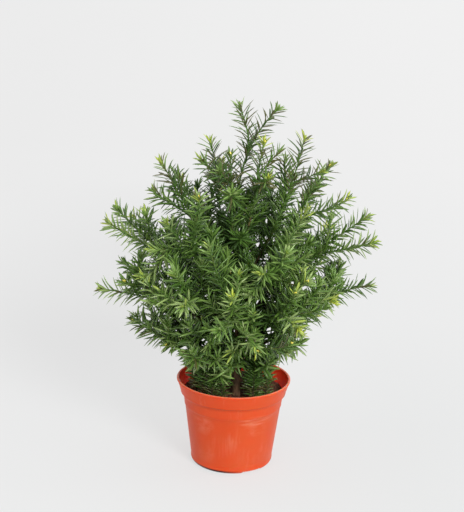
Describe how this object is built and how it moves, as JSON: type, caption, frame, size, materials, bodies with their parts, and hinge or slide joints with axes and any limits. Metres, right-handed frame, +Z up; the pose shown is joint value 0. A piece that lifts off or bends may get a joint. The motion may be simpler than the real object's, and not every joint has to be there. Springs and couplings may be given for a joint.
{
  "type": "potted yew",
  "caption": "Bushy young yew with radiating needle-covered shoots, on a thin trunk in a round tapered nursery pot.",
  "frame": {"origin": "middle of the pot's flat underside, where it stands", "axes": "+Z up along the pot's axis and the trunk; -Y towards the front of the plant; +X to its right seen from the front"},
  "size_m": [0.2927, 0.2635, 0.3885],
  "materials": {
    "pot_plastic": "satin",
    "soil": "matte",
    "bark": "matte",
    "foliage": "satin"
  },
  "bodies": {
    "root": {"pot": "pot_plastic", "soil": "soil", "trunk": "bark", "bough_top_left": "bark", "bough_top_front": "bark", "bough_top_right": "bark", "bough_crown_right": "bark", "bough_high_right": "bark", "bough_mid_right": "bark", "bough_low_right": "bark", "bough_back_base_right": "bark", "bough_high_left": "bark", "bough_low_left": "bark", "bough_upper_left": "bark", "bough_base_left": "bark", "bough_front_low": "bark", "bough_front_mid_left": "bark", "bough_front_centre": "bark", "bough_front_mid_right": "bark", "bough_front_high_right": "bark", "bough_front_upper_left": "bark", "bough_back_high_right": "bark", "bough_back_high_left": "bark", "bough_back_mid_right": "bark", "bough_back_mid": "bark", "bough_back_mid_left": "bark", "bough_back_base": "bark", "bough_back_base_left": "bark", "stem_right": "bark", "stem_left": "bark", "foliage_leader": "foliage", "foliage_top_left": "foliage", "foliage_top_front": "foliage", "foliage_top_right": "foliage", "foliage_crown_right": "foliage", "foliage_high_right": "foliage", "foliage_mid_right": "foliage", "foliage_low_right": "foliage", "foliage_back_base_right": "foliage", "foliage_high_left": "foliage", "foliage_low_left": "foliage", "foliage_upper_left": "foliage", "foliage_base_left": "foliage", "foliage_front_low": "foliage", "foliage_front_mid_left": "foliage", "foliage_front_centre": "foliage", "foliage_front_mid_right": "foliage", "foliage_front_high_right": "foliage", "foliage_front_upper_left": "foliage", "foliage_back_high_right": "foliage", "foliage_back_high_left": "foliage", "foliage_back_mid_right": "foliage", "foliage_back_mid": "foliage", "foliage_back_mid_left": "foliage", "foliage_back_base": "foliage", "foliage_back_base_left": "foliage", "foliage_stem_right": "foliage", "foliage_stem_left": "foliage"}
  },
  "joints": []
}
